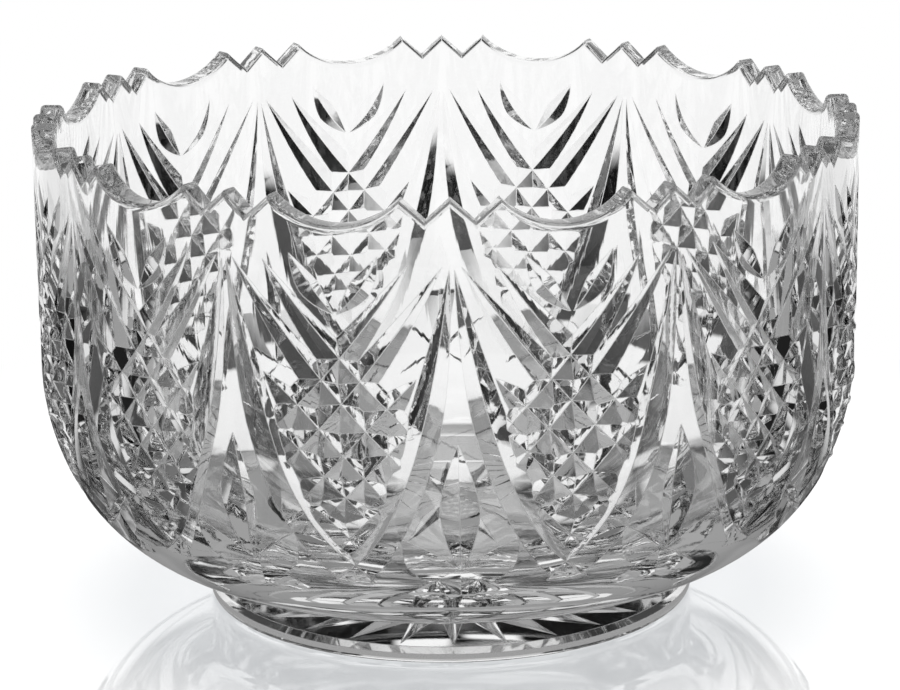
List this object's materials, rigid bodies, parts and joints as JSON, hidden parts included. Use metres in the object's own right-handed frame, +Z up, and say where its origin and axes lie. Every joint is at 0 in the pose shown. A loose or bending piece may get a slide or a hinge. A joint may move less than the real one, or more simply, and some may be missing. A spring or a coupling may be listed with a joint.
{
  "type": "cut crystal bowl",
  "caption": "Deep round cut-crystal serving bowl with a notched and scalloped rim, raised-diamond and fan cuts round the wall, and a thick star-cut foot.",
  "frame": {"origin": "centre of the foot's resting ring, on the surface that the bowl stands on", "axes": "+Z up along the bowl's axis; -Y towards the viewer of the picture, through the middle of one repeat of the cut pattern"},
  "size_m": [0.203, 0.203, 0.123],
  "materials": {
    "body_crystal": "clear polished lead crystal, mitre-cut and acid-polished",
    "foot_crystal": "clear polished lead crystal, ground flat on its resting ring"
  },
  "bodies": {
    "root": {"bowl_body": "body_crystal", "foot": "foot_crystal"}
  },
  "joints": []
}
